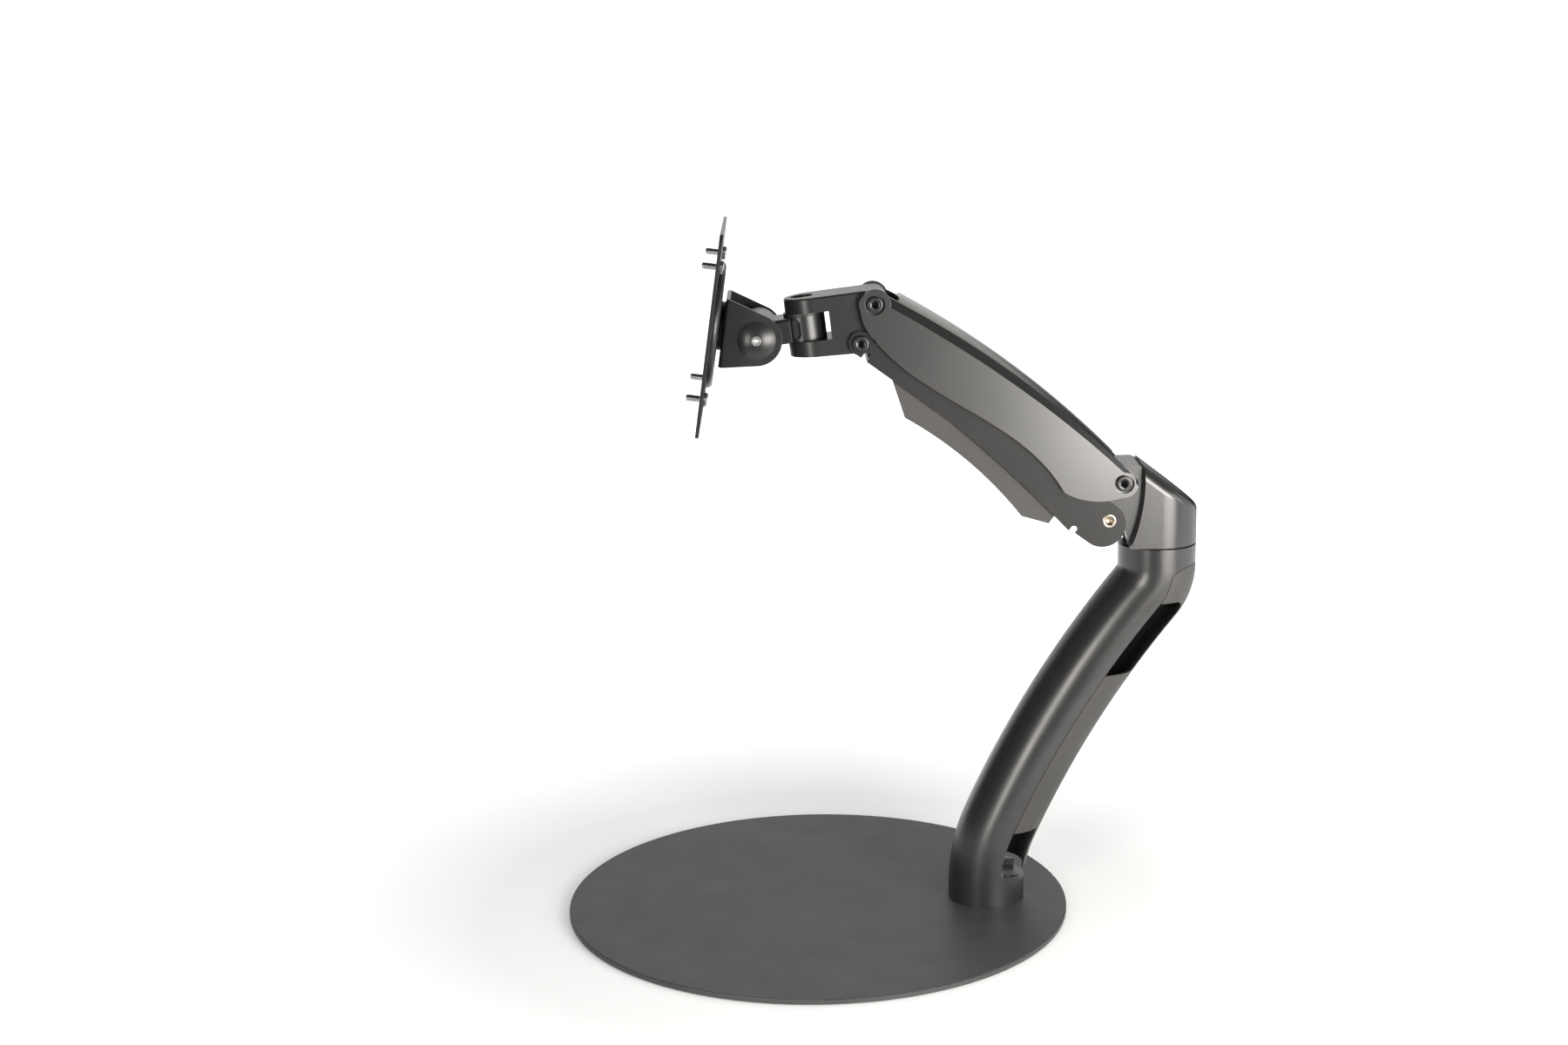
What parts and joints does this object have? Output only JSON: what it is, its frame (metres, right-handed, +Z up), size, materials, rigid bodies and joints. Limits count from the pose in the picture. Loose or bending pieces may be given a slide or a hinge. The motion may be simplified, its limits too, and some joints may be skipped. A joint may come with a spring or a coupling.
{
  "type": "monitor arm",
  "caption": "Desktop monitor arm on a round base: bent column with cable cover, swivel hub, gas-spring parallelogram arm, tilting and swivelling head and VESA plate.",
  "frame": {"origin": "centre of the round base's underside", "axes": "+Z up; +X from the base's centre towards the column; the arm points to -X at rest"},
  "size_m": [0.3753, 0.3, 0.4118],
  "materials": {
    "base_paint": "satin powder coat",
    "pad_rubber": "matt",
    "casting_paint": "satin",
    "sheet_paint": "satin",
    "cover_plastic": "fine matt",
    "black_steel": "black oxide",
    "zinc_steel": "zinc plated",
    "brass": "plain",
    "washer_plastic": "plain",
    "spring_chrome": "polished"
  },
  "bodies": {
    "stand": {"base_plate": "base_paint", "base_pad": "pad_rubber", "foot_bolts": "zinc_steel", "column": "casting_paint", "column_cover": "cover_plastic", "swivel_spindle": "zinc_steel", "thrust_washer": "washer_plastic"},
    "hub": {"hub": "casting_paint", "spindle_bush": "brass", "spring_pin": "zinc_steel", "rear_pivot_washers": "washer_plastic"},
    "upper_arm": {"arm_shell": "casting_paint", "rear_pivot_pin": "zinc_steel", "front_pivot_pin": "zinc_steel", "rear_pivot_screws": "black_steel", "front_pivot_screws": "black_steel", "gas_spring_cylinder": "sheet_paint", "gas_spring_anchor_pin": "zinc_steel"},
    "spring_rod": {"gas_spring_rod": "spring_chrome"},
    "lower_arm": {"lower_link": "sheet_paint", "rear_link_rivets": "brass", "front_link_pin": "zinc_steel", "front_link_screws": "black_steel", "cable_clip": "cover_plastic"},
    "clevis": {"clevis": "casting_paint", "front_pivot_washers": "washer_plastic", "swivel_bolt": "brass", "swivel_nut": "zinc_steel"},
    "knuckle": {"knuckle": "casting_paint", "swivel_washer": "washer_plastic"},
    "tilt_head": {"tilt_bracket": "sheet_paint", "tilt_bolt": "zinc_steel", "tilt_nut": "zinc_steel", "tilt_washers": "washer_plastic", "rotation_spacer": "washer_plastic", "rotation_bolt": "zinc_steel"},
    "vesa_head": {"rotation_disc": "casting_paint", "vesa_plate": "sheet_paint", "vesa_screws": "zinc_steel"}
  },
  "joints": [
    {"name": "hub_swivel", "type": "hinge", "parent": "stand", "child": "hub", "pos_m": [0.20256, 0, 0.22243], "axis": [0, 0, 1], "range_deg": [-90, 90]},
    {"name": "arm_lift", "type": "hinge", "parent": "hub", "child": "upper_arm", "pos_m": [0.18016, 0, 0.26073], "axis": [0, 1, 0], "range_deg": [-70, 5]},
    {"name": "link_follow", "type": "hinge", "parent": "hub", "child": "lower_arm", "pos_m": [0.17201, 0, 0.23858], "axis": [0, 1, 0], "range_deg": [-71, 6]},
    {"name": "clevis_level", "type": "hinge", "parent": "upper_arm", "child": "clevis", "pos_m": [0.03777, 0, 0.36687], "axis": [0, 1, 0], "range_deg": [-6, 71]},
    {"name": "gas_spring_stroke", "type": "slide", "parent": "upper_arm", "child": "spring_rod", "axis": [0.7568, 0, -0.6536], "range_m": [-0.0145, 0.0015]},
    {"name": "head_swivel", "type": "hinge", "parent": "clevis", "child": "knuckle", "pos_m": [-0.00277, 0, 0.36225], "axis": [-0.1132, 0, 0.9936], "range_deg": [-75, 75]},
    {"name": "head_tilt", "type": "hinge", "parent": "knuckle", "child": "tilt_head", "pos_m": [-0.02984, 0, 0.3481], "axis": [0, 1, 0], "range_deg": [-35, 45]},
    {"name": "vesa_rotation", "type": "hinge", "parent": "tilt_head", "child": "vesa_head", "pos_m": [-0.05565, 0, 0.35474], "axis": [-0.9893, 0, 0.1461], "continuous": true}
  ],
  "couplings": [
    {"joint": "link_follow", "follows": "arm_lift", "ratio": 1},
    {"joint": "clevis_level", "follows": "arm_lift", "ratio": -1},
    {"joint": "gas_spring_stroke", "follows": "arm_lift", "m_per_rad": 0.0113}
  ]
}
